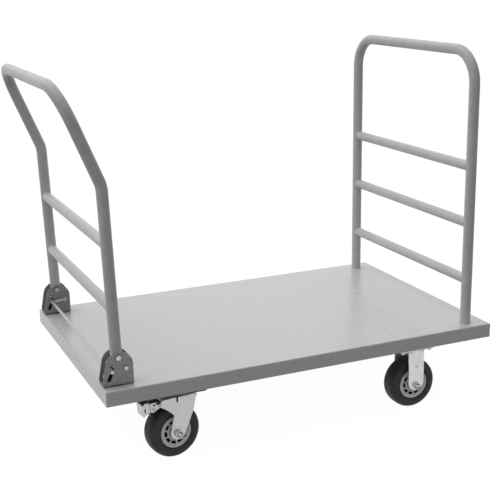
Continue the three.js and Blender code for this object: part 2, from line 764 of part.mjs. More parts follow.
function addCasters(deck) {
  for (const [name, side] of Object.entries(SIDES)) {
    const rigid = new THREE.Group();
    rigid.position.set(RIGID_X, side * CASTER_Y, 0);
    deck.add(rigid);
    place(rigid, `rigid_plate_${name}`, mountingPlate(), zinc);
    place(rigid, `rigid_fork_${name}`, rigidFork(), zinc);
    addWheel(rigid, 'rigid', name, 0);

    const base = new THREE.Group();
    base.position.set(KINGPIN_X, side * CASTER_Y, 0);
    deck.add(base);
    place(base, `swivel_plate_${name}`, mountingPlate(), zinc);
    place(base, `kingpin_${name}`, kingpin(), zinc);
    const swivel = new THREE.Group();
    swivel.rotation.z = YAW;
    base.add(swivel);
    place(swivel, `swivel_fork_${name}`, swivelFork(), zinc);
    place(swivel, `brake_bracket_${name}`, brakeBracket(), zinc);
    place(swivel, `brake_pedal_${name}`, brakePedal(), zinc);
    addWheel(swivel, 'swivel', name, -TRAIL);
  }
}

// ---------------------------------------------------------------- the cart

const cart = new THREE.Group();
const deck = new THREE.Group();
deck.position.x = DECK_X;
cart.add(deck);
place(deck, 'deck_pan', deckPan(), deckPaint);
place(deck, 'caster_channel_left', channel(KINGPIN_X, CASTER_CHANNEL_WIDTH), deckPaint);
place(deck, 'middle_channel', channel(0, MIDDLE_CHANNEL_WIDTH), deckPaint);
place(deck, 'caster_channel_right', channel(RIGID_X, CASTER_CHANNEL_WIDTH), deckPaint);
addFixedHandle(deck);
addFoldingHandle(deck);
addHinges(deck);
addCasters(deck);

export default cart;
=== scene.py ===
# A folding platform cart in fine detail, built round its CAD frame.
#
# Lengths and places are millimetres in the frame's own axes, and become metres as each mesh is made.
# +X runs from the folding handle to the fixed one, +Y across the cart, and +Z up from the floor.

import json
import math

import bmesh
import bpy
from mathutils import Matrix, Vector


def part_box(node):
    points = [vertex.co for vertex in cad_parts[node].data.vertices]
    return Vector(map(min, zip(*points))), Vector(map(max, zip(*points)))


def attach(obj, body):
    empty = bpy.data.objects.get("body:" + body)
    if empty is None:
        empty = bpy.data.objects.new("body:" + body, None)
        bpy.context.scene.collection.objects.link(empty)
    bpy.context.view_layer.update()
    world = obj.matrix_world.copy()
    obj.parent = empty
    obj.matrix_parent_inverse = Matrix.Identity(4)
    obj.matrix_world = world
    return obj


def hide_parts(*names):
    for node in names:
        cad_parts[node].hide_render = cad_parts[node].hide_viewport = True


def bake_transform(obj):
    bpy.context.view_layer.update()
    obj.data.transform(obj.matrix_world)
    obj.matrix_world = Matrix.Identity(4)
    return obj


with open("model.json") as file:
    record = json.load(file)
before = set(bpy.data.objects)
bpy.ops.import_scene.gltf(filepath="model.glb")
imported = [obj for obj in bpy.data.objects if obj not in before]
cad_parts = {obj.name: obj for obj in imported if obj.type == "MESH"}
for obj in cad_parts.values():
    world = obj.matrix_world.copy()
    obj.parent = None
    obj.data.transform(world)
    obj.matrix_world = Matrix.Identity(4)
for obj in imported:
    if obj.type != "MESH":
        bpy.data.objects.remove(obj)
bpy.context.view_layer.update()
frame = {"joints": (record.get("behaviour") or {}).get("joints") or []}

MM = 0.001
SIDES = {"front": -1, "back": 1}

# ---------------- sizes finer than the frame's

GAP = 0.3
SHEET = 3.0
TUBE_WALL = 2.0
RUNG_RADIUS = 15.0
CORNER_RADIUS = 96.0
LOWER_LENGTH = 459.0
LEAN_BEND_RADIUS = 80.0
FOOT_LENGTH = 26.0
SLEEVE_RADIUS = 7.5
PIVOT_BOLT_RADIUS = 5.0
POST_BOLT_RADIUS = 6.0
HEX_FLATS = 17.0
TUBE_SIDES = 40
EDGE = 0.5

# ---------------- places from the frame


def box(node):
    """The low and high corners of a CAD node at rest."""
    low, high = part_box(node)
    return low / MM, high / MM


def middle(node):
    low, high = box(node)
    return (low + high) / 2


# Turns a fastener that was made along Y so that its +Y points up, or down.
FLAT = Matrix.Rotation(math.radians(90), 4, "X")
FLAT_DOWN = Matrix.Rotation(math.radians(-90), 4, "X")


def joint(name):
    return next(j for j in frame["joints"] if j["name"] == name)


def joint_place(name):
    return Vector(joint(name)["pos_m"]) / MM


def joint_axis(name):
    return Vector(joint(name)["axis"])


deck_low, deck_high = box("deck_pan")
DECK_TOP = deck_high.z
SKIRT_BOTTOM = deck_low.z

fixed_low, fixed_high = box("fixed_handle_tube")
TUBE_RADIUS = (fixed_high.x - fixed_low.x) / 2
POST_X = (fixed_high.x + fixed_low.x) / 2
POST_Y = fixed_high.y - TUBE_RADIUS

PIVOT = joint_place("handle_fold")
LEG_Y = middle("pivot_sleeve_back").y
lower_leg = middle("folding_rung_upper") - PIVOT
LOWER_LEAN = math.atan2(-lower_leg.x, lower_leg.z)

swivel_axle = joint_axis("swivel_wheel_roll_front")
YAW = math.atan2(-swivel_axle.x, swivel_axle.y)


def at(place, yaw=0.0):
    """The matrix of a piece whose own origin stands at a place, turned about Z."""
    return Matrix.Translation(Vector(place) * MM) @ Matrix.Rotation(yaw, 4, "Z")


def at_pivot(side, offset=(0.0, 0.0)):
    """The matrix of a piece at a side's pivot, or off it in X and Z. Side 0 is the cart's middle."""
    return at((PIVOT.x + offset[0], side * LEG_Y, PIVOT.z + offset[1]))


# ---------------- outlines


def steps(count, start, end):
    """Evenly spaced values from start to end, both included."""
    return [start + (end - start) * i / count for i in range(count + 1)]


def arc(centre, radius, start, end, count=10):
    """Points on an arc, with its angles in degrees."""
    return [
        (centre[0] + radius * math.cos(math.radians(a)), centre[1] + radius * math.sin(math.radians(a)))
        for a in steps(count, start, end)
    ]


def circle(radius, count, centre=(0.0, 0.0)):
    return arc(centre, radius, 0, 360, count)[:-1]


def rectangle(left, low, right, high):
    return [(left, low), (right, low), (right, high), (left, high)]


def curve(start, control, end, count=8):
    """Points on a quadratic curve, without its ends."""
    start, control, end = Vector(start), Vector(control), Vector(end)
    inner = steps(count, 0, 1)[1:-1]
    return [tuple(start * (1 - t) ** 2 + control * 2 * t * (1 - t) + end * t * t) for t in inner]


def rounded(corners, radii, count=5):
    """A closed outline with an arc at each corner. A radius of 0 keeps a corner sharp."""
    if not isinstance(radii, (list, tuple)):
        radii = [radii] * len(corners)
    points = []
    for i, radius in enumerate(radii):
        corner = Vector(corners[i])
        to_last = (Vector(corners[i - 1]) - corner).normalized()
        to_next = (Vector(corners[(i + 1) % len(corners)]) - corner).normalized()
        if radius == 0:
            points.append(tuple(corner))
            continue
        half = to_last.angle(to_next) / 2
        centre = corner + (to_last + to_next).normalized() * radius / math.sin(half)
        first = corner + to_last * radius / math.tan(half) - centre
        last = corner + to_next * radius / math.tan(half) - centre
        turn = first.angle_signed(last)
        for a in steps(count, 0, -turn):
            u = first.x * math.cos(a) - first.y * math.sin(a)
            v = first.x * math.sin(a) + first.y * math.cos(a)
            points.append((centre.x + u, centre.y + v))
    return points


def bent_path(corners, radii, count=10):
    """Places and directions along straight runs that are joined by round bends."""
    corners = [Vector(c) for c in corners]
    stations = [(corners[0], (corners[1] - corners[0]).normalized())]
    for before, corner, after, radius in zip(corners, corners[1:], corners[2:], radii):
        incoming = (corner - before).normalized()
        outgoing = (after - corner).normalized()
        turn = incoming.angle(outgoing)
        start = corner - incoming * radius * math.tan(turn / 2)
        inward = (outgoing - incoming * math.cos(turn)).normalized()
        for a in steps(count, 0, turn):
            place = start + incoming * radius * math.sin(a) + inward * radius * (1 - math.cos(a))
            stations.append((place, incoming * math.cos(a) + inward * math.sin(a)))
    stations.append((corners[-1], (corners[-1] - corners[-2]).normalized()))
    return stations


def sheet_outline(corners, radii, thickness, count=5):
    """The closed edge of a bent sheet, seen end on, from the corners of its middle line."""
    stations = bent_path([(u, v, 0) for u, v in corners], radii, count)
    left, right = [], []
    for place, along in stations:
        aside = Vector((-along.y, along.x, 0)) * thickness / 2
        left.append((place + aside)[:2])
        right.append((place - aside)[:2])
    return left + right[::-1]


# ---------------- meshes


def level(u, v, w):
    """An outline in X and Y, with its depth along Z."""
    return (u, v, w)


def upright(u, v, w):
    """An outline in X and Z, with its depth along Y."""
    return (u, w, v)


def across(u, v, w):
    """An outline in Y and Z, with its depth along X."""
    return (w, u, v)


def new_object(points, faces, name="part"):
    mesh = bpy.data.meshes.new(name)
    mesh.from_pydata([Vector(p) * MM for p in points], [], faces)
    work = bmesh.new()
    work.from_mesh(mesh)
    bmesh.ops.remove_doubles(work, verts=work.verts, dist=1e-7)
    bmesh.ops.recalc_face_normals(work, faces=work.faces)
    work.to_mesh(mesh)
    work.free()
    made = bpy.data.objects.new(name, mesh)
    bpy.context.scene.collection.objects.link(made)
    return made


def loft(rows, ring=False, capped=False):
    """A skin over closed rows of points. A ring joins the last row to the first."""
    count = len(rows[0])
    faces = []
    for i in range(len(rows) if ring else len(rows) - 1):
        j = (i + 1) % len(rows)
        for k in range(count):
            m = (k + 1) % count
            faces.append((i * count + k, i * count + m, j * count + m, j * count + k))
    if capped:
        faces.append(tuple(range(count)))
        faces.append(tuple(range((len(rows) - 1) * count, len(rows) * count)))
    return new_object([p for row in rows for p in row], faces)


def prism(outline, low, high, facing=upright):
    return loft([[facing(u, v, w) for u, v in outline] for w in (low, high)], capped=True)


def rings(stations, radii, sides=TUBE_SIDES, aside=(0.0, 1.0, 0.0)):
    """A ring of points round each station. The way they face is carried along, so that they don't twist."""
    aside = Vector(aside)
    rows = []
    for (place, along), size in zip(stations, radii):
        aside = (aside - along * aside.dot(along)).normalized()
        third = along.cross(aside)
        rows.append([place + aside * u + third * v for u, v in circle(size, sides)])
    return rows


def pipe(stations):
    """A hollow tube, as one skin that runs along its outside and back along its inside."""
    outside = rings(stations, [TUBE_RADIUS] * len(stations))
    inside = rings(stations, [TUBE_RADIUS - TUBE_WALL] * len(stations))
    return loft(outside + inside[::-1], ring=True)


def turned(profile, sides=48):
    """A closed profile of (radius, y), turned about Y."""
    return loft([[(r * u, y, r * v) for r, y in profile] for u, v in circle(1, sides)], ring=True)


def settle(work):
    """Turns an object's modifiers into its mesh."""
    graph = bpy.context.evaluated_depsgraph_get()
    old = work.data
    work.data = bpy.data.meshes.new_from_object(work.evaluated_get(graph))
    work.modifiers.clear()
    bpy.data.meshes.remove(old)
    return work


def carve(work, tools, operation="DIFFERENCE"):
    """Cuts an object with others, or joins it to them, and removes those."""
    for tool in tools:
        boolean = work.modifiers.new("carve", "BOOLEAN")
        boolean.operation = operation
        boolean.solver = "EXACT"
        boolean.object = tool
    settle(work)
    for tool in tools:
        bpy.data.objects.remove(tool)
    return work


def soften(work, width=EDGE, segments=2, angle=40.0):
    """Rounds every edge that is sharper than the angle."""
    bevel = work.modifiers.new("soften", "BEVEL")
    bevel.width = width * MM
    bevel.segments = segments
    bevel.limit_method = "ANGLE"
    bevel.angle_limit = math.radians(angle)
    return settle(work)


def soften_where(work, chosen, width, segments=5):
    """Rounds the sharp edges whose two ends both pass a test of their place."""
    mesh = bmesh.new()
    mesh.from_mesh(work.data)
    sharp = [e for e in mesh.edges if e.calc_face_angle(0) > 0.6]
    edges = [e for e in sharp if all(chosen(v.co / MM) for v in e.verts)]
    sizes = {"offset": width * MM, "segments": segments, "profile": 0.5, "clamp_overlap": True}
    bmesh.ops.bevel(mesh, geom=edges, affect="EDGES", **sizes)
    mesh.to_mesh(work.data)
    mesh.free()
    return work


def join(*parts):
    """Several objects as one, under the first one's name."""
    mesh = bmesh.new()
    for part in parts:
        part.data.transform(part.matrix_world)
        mesh.from_mesh(part.data)
    first = parts[0]
    first.matrix_world = Matrix.Identity(4)
    mesh.to_mesh(first.data)
    mesh.free()
    for part in parts[1:]:
        bpy.data.objects.remove(part)
    return first


def shifted(work, matrix):
    """An object with its mesh moved by a matrix whose places are millimetres."""
    metres = matrix.copy()
    metres.translation *= MM
    work.data.transform(metres)
    return work


def extra(work, name, body, slot, finish, matrix=None, smooth=35.0, lining=None):
    """Names, shades and places a finished object, which rides a body.

    A lining is a second finish, and a test of the middle and normal of each face that takes it.
    """
    work.name = name
    work.data.materials.clear()
    work.data.materials.append(finish)
    if lining:
        work.data.materials.append(lining[0])
    for face in work.data.polygons:
        face.material_index = 1 if lining and lining[1](face.center / MM, face.normal) else 0
        face.use_smooth = True
    work.data.set_sharp_from_angle(angle=math.radians(smooth))
    weighted = work.modifiers.new("shading", "WEIGHTED_NORMAL")
    weighted.keep_sharp = True
    weighted.weight = 50
    settle(work)
    if matrix is not None:
        work.matrix_world = matrix
    if body:
        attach(work, body)


def piece(work, node, *look, **options):
    """The same for an object that stands for its CAD node."""
    extra(work, f"{node}_look", *look, **options)
    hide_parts(node)


# ---------------- fasteners, along Y


def hexagon(flats, low, high, chamfer_high=True):
    """A hexagon whose corners are turned down at its low end, and at its high end if that is chosen."""
    corner = flats / math.sqrt(3)
    drop = (corner - flats / 2) * math.tan(math.radians(30)) + 0.1
    reach = corner + 1
    face = flats / 2 * 0.96
    profile = [(0, low), (face, low), (reach, low + drop * 2)]
    profile += [(reach, high - drop * 2), (face, high)] if chamfer_high else [(reach, high)]
    profile += [(0, high)]
    body = prism(circle(corner, 6), low - 1, high + 1)
    return carve(body, [turned(profile, 64)], "INTERSECT")


def washer(bore, radius, low, high):
    return turned(rounded(rectangle(bore, low, radius, high), 0.3, 2))


def shank(radius, low, high, thread_from):
    """A bolt's shank from low to high, smooth up to where its thread starts."""
    pitch, depth = 1.5, 0.45
    profile = [(0, low), (radius, low), (radius, thread_from)]
    turns = int((high - 0.8 - thread_from) / pitch)
    for i in range(turns):
        y = thread_from + i * pitch
        profile += [(radius - depth, y + pitch * 0.5), (radius, y + pitch)]
    profile += [(radius - 0.9, high), (0, high)]
    return turned(profile, 32)


def bolt(radius, seat, tip, head=6.5, flats=HEX_FLATS):
    """A bolt whose head lies on a face at y = seat and whose shank runs on to y = tip."""
    top = hexagon(flats, seat - head, seat, chamfer_high=False)
    return join(shank(radius, seat, tip, tip - 14), soften(top, 0.25))


def nut(radius, seat, height=8.0, flats=HEX_FLATS):
    """A nut that lies on a face at y = seat."""
    body = hexagon(flats, seat, seat + height)
    bore = rectangle(0, seat - 1, radius + 0.2, seat + height + 1)
    return soften(carve(body, [turned(bore, 32)]), 0.25)


def domed(radius, height, seat, side, bore=0.0):
    """A low dome that stands on a face at y = seat, on the side that it faces."""
    profile = [(bore, seat), (radius, seat), (radius, seat + side * height * 0.3)]
    profile += [
        (max(radius * math.cos(a), bore), seat + side * height * (0.3 + 0.7 * math.sin(a)))
        for a in steps(6, 0.35, math.pi / 2)
    ]
    return turned(profile, 32)


# ---------------- materials


class Nodes:
    """The node tree of a material or the world, with short ways to add a node and to link two."""

    def __init__(self, owner):
        owner.use_nodes = True
        self.tree = owner.node_tree

    def node(self, kind, **inputs):
        made = self.tree.nodes.new(kind)
        for name, value in inputs.items():
            made.inputs[name].default_value = value
        return made

    def vector_math(self, operation, source, value):
        made = self.node("ShaderNodeVectorMath")
        made.operation = operation
        made.inputs[1].default_value = value
        self.link(source, made.inputs[0])
        return made

    def spread(self, source, **limits):
        made = self.node("ShaderNodeMapRange", **{k.replace("_", " "): v for k, v in limits.items()})
        self.link(source, made.inputs["Value"])
        return made

    def link(self, source, target):
        self.tree.links.new(source, target)


class Finish(Nodes):
    """A material under construction, with helpers for its procedural inputs."""

    def __init__(self, name, metallic, roughness):
        self.made = bpy.data.materials.new(name)
        super().__init__(self.made)
        self.shader = self.tree.nodes["Principled BSDF"]
        self.set("Metallic", metallic)
        self.set("Roughness", roughness)

    def set(self, name, value):
        self.shader.inputs[name].default_value = value

    def noise(self, scale, detail=3.0, stretch=(1.0, 1.0, 1.0)):
        """Noise fixed to the piece, with this many lumps to the metre."""
        place = self.node("ShaderNodeTexCoord")
        mapping = self.node("ShaderNodeMapping", Scale=stretch)
        texture = self.node("ShaderNodeTexNoise", Scale=scale, Detail=detail)
        self.link(place.outputs["Object"], mapping.inputs["Vector"])
        self.link(mapping.outputs["Vector"], texture.inputs["Vector"])
        return texture.outputs["Fac"]

    def colour(self, source, low, high, start=0.35, end=0.65):
        """A colour that runs from one to another as the source does from start to end."""
        ramp = self.node("ShaderNodeValToRGB")
        for element, position, value in zip(ramp.color_ramp.elements, (start, end), (low, high)):
            element.position = position
            element.color = (*value, 1)
        self.link(source, ramp.inputs["Fac"])
        self.link(ramp.outputs["Color"], self.shader.inputs["Base Color"])

    def roughness(self, source, low, high):
        spread = self.spread(source, From_Min=0.35, From_Max=0.65, To_Min=low, To_Max=high)
        self.link(spread.outputs["Result"], self.shader.inputs["Roughness"])

    def bump(self, source, depth):
        """Relief from the source, this many metres deep."""
        bump = self.node("ShaderNodeBump", Strength=1.0, Distance=depth)
        self.link(source, bump.inputs["Height"])
        self.link(bump.outputs["Normal"], self.shader.inputs["Normal"])


def grey(value, tint=0.0):
    """A near neutral colour. A positive tint is bluish."""
    return (value * (1 - tint), value, value * (1 + tint))


def powder_coat(name, shade, roughness, relief):
    finish = Finish(name, 0.0, roughness)
    finish.set("Specular IOR Level", 0.3)
    finish.colour(finish.noise(45, 5), grey(shade * 0.95, 0.012), grey(shade * 1.04, 0.012))
    finish.roughness(finish.noise(30, 4), roughness - 0.04, roughness + 0.05)
    finish.bump(finish.noise(700, 2), relief)
    return finish.made


def deck_paint():
    """Satin powder coat, with a faint mottling from the brushed sheet under it."""
    finish = Finish("deck_paint", 0.0, 0.28)
    finish.colour(finish.noise(140, 5, (0.6, 1.0, 1.0)), grey(0.575, 0.004), grey(0.6, 0.004))
    finish.roughness(finish.noise(90, 5, (0.5, 1.0, 1.0)), 0.25, 0.31)
    finish.bump(finish.noise(520, 3), 0.000012)
    return finish.made


def hammered(name, shade):
    """Dark paint that has dried into small dimples."""
    finish = Finish(name, 0.2, 0.42)
    finish.colour(finish.noise(420, 2), grey(shade * 0.75, 0.01), grey(shade * 1.25, 0.01), 0.38, 0.62)
    place = finish.node("ShaderNodeTexCoord")
    cells = finish.node("ShaderNodeTexVoronoi", Scale=330.0)
    cells.feature = "SMOOTH_F1"
    finish.link(place.outputs["Object"], cells.inputs["Vector"])
    finish.bump(cells.outputs["Distance"], 0.00035)
    return finish.made


# The middle and radius of the patch of painted shade on a bracket's inner faces, in metres from the hinge's
# pivot.
PAINTED_SHADE_CENTRE = (-0.006, 0.0, -0.062)
PAINTED_SHADE_RADIUS = 0.026


def inner_painted_shade():
    """The hinge brackets' inner faces: dark paint with painted shade, black round the latch where shade falls
    inside the bracket.
    """
    finish = Finish("inner_painted_shade", 0.0, 0.55)
    place = finish.node("ShaderNodeTexCoord")
    flat = finish.vector_math("MULTIPLY", place.outputs["Object"], (1.0, 0.0, 1.0))
    distance = finish.vector_math("DISTANCE", flat.outputs["Vector"], PAINTED_SHADE_CENTRE)
    # Painted shade: black near the latch, going to dark grey further out.
    finish.colour(distance.outputs["Value"], grey(0.012), grey(0.26), PAINTED_SHADE_RADIUS * 0.7, PAINTED_SHADE_RADIUS)
    finish.roughness(finish.noise(200, 3), 0.5, 0.62)
    finish.bump(finish.noise(400, 3), 0.0002)
    return finish.made


def zinc_plate(name, shade, roughness, metallic=0.8):
    """Bright zinc with a soft, slightly uneven sheen."""
    finish = Finish(name, metallic, roughness)
    streaks = finish.noise(260, 4, (1.0, 1.0, 0.25))
    finish.colour(streaks, grey(shade * 0.93, 0.004), grey(shade * 1.06, 0.004))
    finish.roughness(finish.noise(60, 4), roughness - 0.04, roughness + 0.06)
    finish.bump(finish.noise(900, 3), 0.000008)
    return finish.made


def spring_wire():
    finish = Finish("spring_wire", 0.5, 0.35)
    finish.colour(finish.noise(200, 3), grey(0.8), grey(0.9))
    finish.roughness(finish.noise(300, 3), 0.3, 0.42)
    return finish.made


def hub_plastic():
    finish = Finish("hub_plastic", 0.0, 0.45)
    finish.colour(finish.noise(110, 4), grey(0.9, 0.003), grey(0.94, 0.003))
    finish.roughness(finish.noise(70, 3), 0.4, 0.5)
    finish.bump(finish.noise(1400, 2), 0.00002)
    return finish.made


def black_plastic():
    finish = Finish("black_plastic", 0.0, 0.6)
    finish.colour(finish.noise(110, 4), grey(0.008), grey(0.013))
    finish.bump(finish.noise(1200, 2), 0.00002)
    return finish.made


def tyre_rubber():
    finish = Finish("tyre_rubber", 0.0, 0.6)
    finish.set("Specular IOR Level", 0.42)
    finish.colour(finish.noise(190, 4), grey(0.012, 0.03), grey(0.027, 0.03))
    finish.roughness(finish.noise(50, 4), 0.52, 0.7)
    finish.bump(finish.noise(1500, 3), 0.00003)
    return finish.made


DECK_PAINT = deck_paint()
TUBE_PAINT = powder_coat("tube_paint", 0.59, 0.34, 0.00002)
HAMMERED = hammered("hammered_paint", 0.3)
# Dark hammered paint: the dark washers' own colour, and painted shade where the linings put it on shaded
# faces, pits, slits and grooves.
DARK_PAINT_AND_SHADE = hammered("dark_paint_and_shade", 0.02)
INNER_PAINTED_SHADE = inner_painted_shade()
ZINC = zinc_plate("zinc_plate", 0.58, 0.42)
BRIGHT_ZINC = zinc_plate("bright_zinc", 0.72, 0.42)
DULL_ZINC = zinc_plate("dull_zinc", 0.56, 0.5)
# A paler, less metallic copy of the zinc for the axle bolts and nuts: painted light, lifting faces that the
# lamps leave dim.
AXLE_ZINC_PAINTED_LIGHT = zinc_plate("axle_zinc_painted_light", 0.92, 0.5, 0.25)
WIRE = spring_wire()
HUB_PLASTIC = hub_plastic()
BLACK_PLASTIC = black_plastic()
RUBBER = tyre_rubber()

# ---------------- deck

FOLD_RADIUS = 4.0
CHANNELS = ("caster_channel_left", "middle_channel", "caster_channel_right")
WELD_HALF = 16
WELD_REACH = 300


def deck_pan():
    """An open box of folded sheet, with rounded folds and a hole for each post."""
    corners = rectangle(deck_low.x, deck_low.y, deck_high.x, deck_high.y)
    pan = prism(rounded(corners, FOLD_RADIUS, 5), SKIRT_BOTTOM, DECK_TOP, level)
    soften_where(pan, lambda p: p.z > DECK_TOP - 0.1, FOLD_RADIUS - 0.5)
    low, high = deck_low + Vector([SHEET] * 3), deck_high - Vector([SHEET] * 3)
    inner = rounded(rectangle(low.x, low.y, high.x, high.y), 1.0, 3)
    tools = [prism(inner, SKIRT_BOTTOM - 1, high.z, level)]
    for side in SIDES.values():
        hole = circle(TUBE_RADIUS + GAP, TUBE_SIDES, (POST_X, side * POST_Y))
        tools.append(prism(hole, DECK_TOP - 10, DECK_TOP + 10, level))
    carve(pan, tools)
    piece(soften(pan, 0.4), "deck_pan", "deck", "deck_paint", DECK_PAINT)


def channel(node):
    """A channel of folded sheet under the deck, with its flanges pointing up."""
    low, high = box(node)
    half = SHEET / 2
    left, right, foot = low.x + half, high.x - half, low.z + half
    route = [(left, high.z), (left, foot), (right, foot), (right, high.z)]
    work = prism(sheet_outline(route, [FOLD_RADIUS + 0.5] * 2, SHEET), low.y, high.y)
    piece(soften(work, 0.4), node, "deck", "deck_paint", DECK_PAINT)


def stitch_welds():
    """Short welds along the top of each channel's flanges, under the deck."""
    beads = []
    z = DECK_TOP - SHEET - 1.2
    for node in CHANNELS:
        low, high = box(node)
        for x in (low.x - 1.0, high.x + 1.0):
            for y in steps(4, -WELD_REACH, WELD_REACH):
                line = [(x, y + s, z) for s in steps(20, -WELD_HALF, WELD_HALF)]
                beads.append(bead(line, 2.4))
    extra(join(*beads), "weld", "deck", "deck_paint", DECK_PAINT)


def bead(points, radius, ring=False):
    """A weld bead along a line of points, rippled as the welder's steps left it."""
    points = [Vector(p) for p in points]
    count = len(points)
    stations = []
    sizes = []
    for i, place in enumerate(points):
        before = points[i - 1] if ring or i else place
        after = points[(i + 1) % count] if ring or i < count - 1 else place
        stations.append((place, (after - before).normalized()))
        sizes.append(radius * (0.9 + 0.1 * (i % 2)))
    if not ring:
        sizes[0] = sizes[-1] = radius * 0.35
    rows = rings(stations, sizes, 10, (0.31, 0.72, 0.62))
    return loft(rows, ring=ring, capped=not ring)


# ---------------- handles


def leg_reach(leg_y, offset):
    """How far out along Y a rung reaches before it meets the leg's surface, off the leg's middle line."""
    return leg_y - math.sqrt((TUBE_RADIUS + 0.1) ** 2 - offset**2)


def rung(node, height, leg_y, matrix, body):
    """A rung in its handle's own frame, with its ends coped round the legs and a weld at each end."""

    def end(radius, side, short=0.0, sides=TUBE_SIDES):
        return [(u, side * (leg_reach(leg_y, u) - short), height + v) for u, v in circle(radius, sides)]

    inner = RUNG_RADIUS - TUBE_WALL
    rows = [end(RUNG_RADIUS, -1), end(RUNG_RADIUS, 1), end(inner, 1), end(inner, -1)]
    piece(loft(rows, ring=True), node, body, "tube_paint", TUBE_PAINT, matrix)
    for name, side in SIDES.items():
        weld = bead(end(RUNG_RADIUS + 0.2, side, 0.6, 96), 1.5, ring=True)
        extra(weld, f"{node}_weld_{name}", body, "tube_paint", TUBE_PAINT, matrix, smooth=60)


def fixed_handle():
    top = fixed_high.z - TUBE_RADIUS
    bottom = fixed_low.z
    corners = [(0, -POST_Y, bottom), (0, -POST_Y, top), (0, POST_Y, top), (0, POST_Y, bottom)]
    work = pipe(bent_path(corners, [CORNER_RADIUS, CORNER_RADIUS], 24))
    frame_of_posts = at((POST_X, 0, 0))
    piece(soften(work, 0.4, 2, 60), "fixed_handle_tube", "deck", "tube_paint", TUBE_PAINT, frame_of_posts)
    for name in ("lower", "middle", "upper"):
        node = f"fixed_rung_{name}"
        rung(node, middle(node).z, POST_Y, frame_of_posts, "deck")


def folding_handle():
    """The fold-down handle, in a frame at its pivots whose Z runs up its lower legs."""
    low, high = box("folding_handle_tube")
    bar = Vector((low.x + TUBE_RADIUS, 0, high.z - TUBE_RADIUS)) - Vector((PIVOT.x, 0, PIVOT.z))
    bar.rotate(Matrix.Rotation(LOWER_LEAN, 4, "Y"))
    legs = [(0, -LEG_Y, -FOOT_LENGTH), (0, -LEG_Y, LOWER_LENGTH), (bar.x, -LEG_Y, bar.z)]
    corners = legs + [(x, -y, z) for x, y, z in legs[::-1]]
    radii = [LEAN_BEND_RADIUS, CORNER_RADIUS, CORNER_RADIUS, LEAN_BEND_RADIUS]
    work = pipe(bent_path(corners, radii, 24))
    bore = circle(SLEEVE_RADIUS + GAP, 32)
    middles = [side * LEG_Y for side in SIDES.values()]
    carve(work, [prism(bore, y - TUBE_RADIUS - 4, y + TUBE_RADIUS + 4) for y in middles])
    turned_frame = at(PIVOT) @ Matrix.Rotation(-LOWER_LEAN, 4, "Y")
    piece(work, "folding_handle_tube", "folding_handle", "tube_paint", TUBE_PAINT, turned_frame)
    for name in ("lower", "upper"):
        node = f"folding_rung_{name}"
        rung(node, (middle(node) - PIVOT).length, LEG_Y, turned_frame, "folding_handle")
    for name, side in SIDES.items():
        sleeve_low, sleeve_high = box(f"pivot_sleeve_{name}")
        half = (sleeve_high.y - sleeve_low.y) / 2
        bore = PIVOT_BOLT_RADIUS + GAP
        sleeve = turned(rounded(rectangle(bore, -half, SLEEVE_RADIUS, half), 0.3, 2), 32)
        piece(sleeve, f"pivot_sleeve_{name}", "folding_handle", "zinc", ZINC, at_pivot(side))


def post_fastening(name, side):
    """The cup under the deck that holds a post, and the bolt that draws the post down into it."""
    low, high = box(f"post_socket_{name}")
    radius = (high.x - low.x) / 2
    bore = TUBE_RADIUS + GAP
    floor = low.z + SHEET
    hole = POST_BOLT_RADIUS + GAP
    corners = [(hole, low.z), (radius, low.z), (radius, high.z), (bore, high.z), (bore, floor), (hole, floor)]
    cup = turned(rounded(corners, [0.3, 3.0, 0.3, 0.3, 1.5, 0.3], 4))
    stand = at((POST_X, side * POST_Y, 0)) @ FLAT
    piece(cup, f"post_socket_{name}", "deck", "deck_paint", DECK_PAINT, stand)
    seat = low.z - GAP - 1.6
    ring = washer(POST_BOLT_RADIUS, 11.5, seat, seat + 1.6)
    screw = join(bolt(POST_BOLT_RADIUS, seat, low.z + 20, 5.0), ring)
    piece(screw, f"post_bolt_{name}", "deck", "zinc", ZINC, stand)


# ---------------- hinge brackets and latch, with places in X and Z from the pivot

BRACKET_HALF = 20.0
FACE = BRACKET_HALF + GAP
RING = 0.8
ROD = Vector((-18.0, -38.0))
ROD_RADIUS = 4.0
ROD_TRAVEL = 25.0
rod_slide = joint_axis("lock_rod_slide")
SLOT_END = ROD + Vector((rod_slide.x, rod_slide.z)) * ROD_TRAVEL
SLOT_RADIUS = 5.2
NOTCH = [(-25.2, -21.2), (-22.2, -18.4), (-11.2, -31.2), (-14.2, -33.8)]
PIN = Vector((20.0, -32.0))
PIN_RADIUS = 4.0
SPRING_Y = 26.0


def bracket_outline(bottom):
    """The plates' outline, with a slanted outer edge and a round head."""
    head = arc((2, -22.6), 38, 0, 170, 20)
    return [(40, bottom), *head, (-45, bottom + 14), (-43, bottom)]


def capsule(start, end, radius):
    """The outline of a slot with round ends."""
    along = end - start
    angle = math.degrees(math.atan2(along.y, along.x))
    return arc(end, radius, angle - 90, angle + 90, 12) + arc(start, radius, angle + 90, angle + 270, 12)


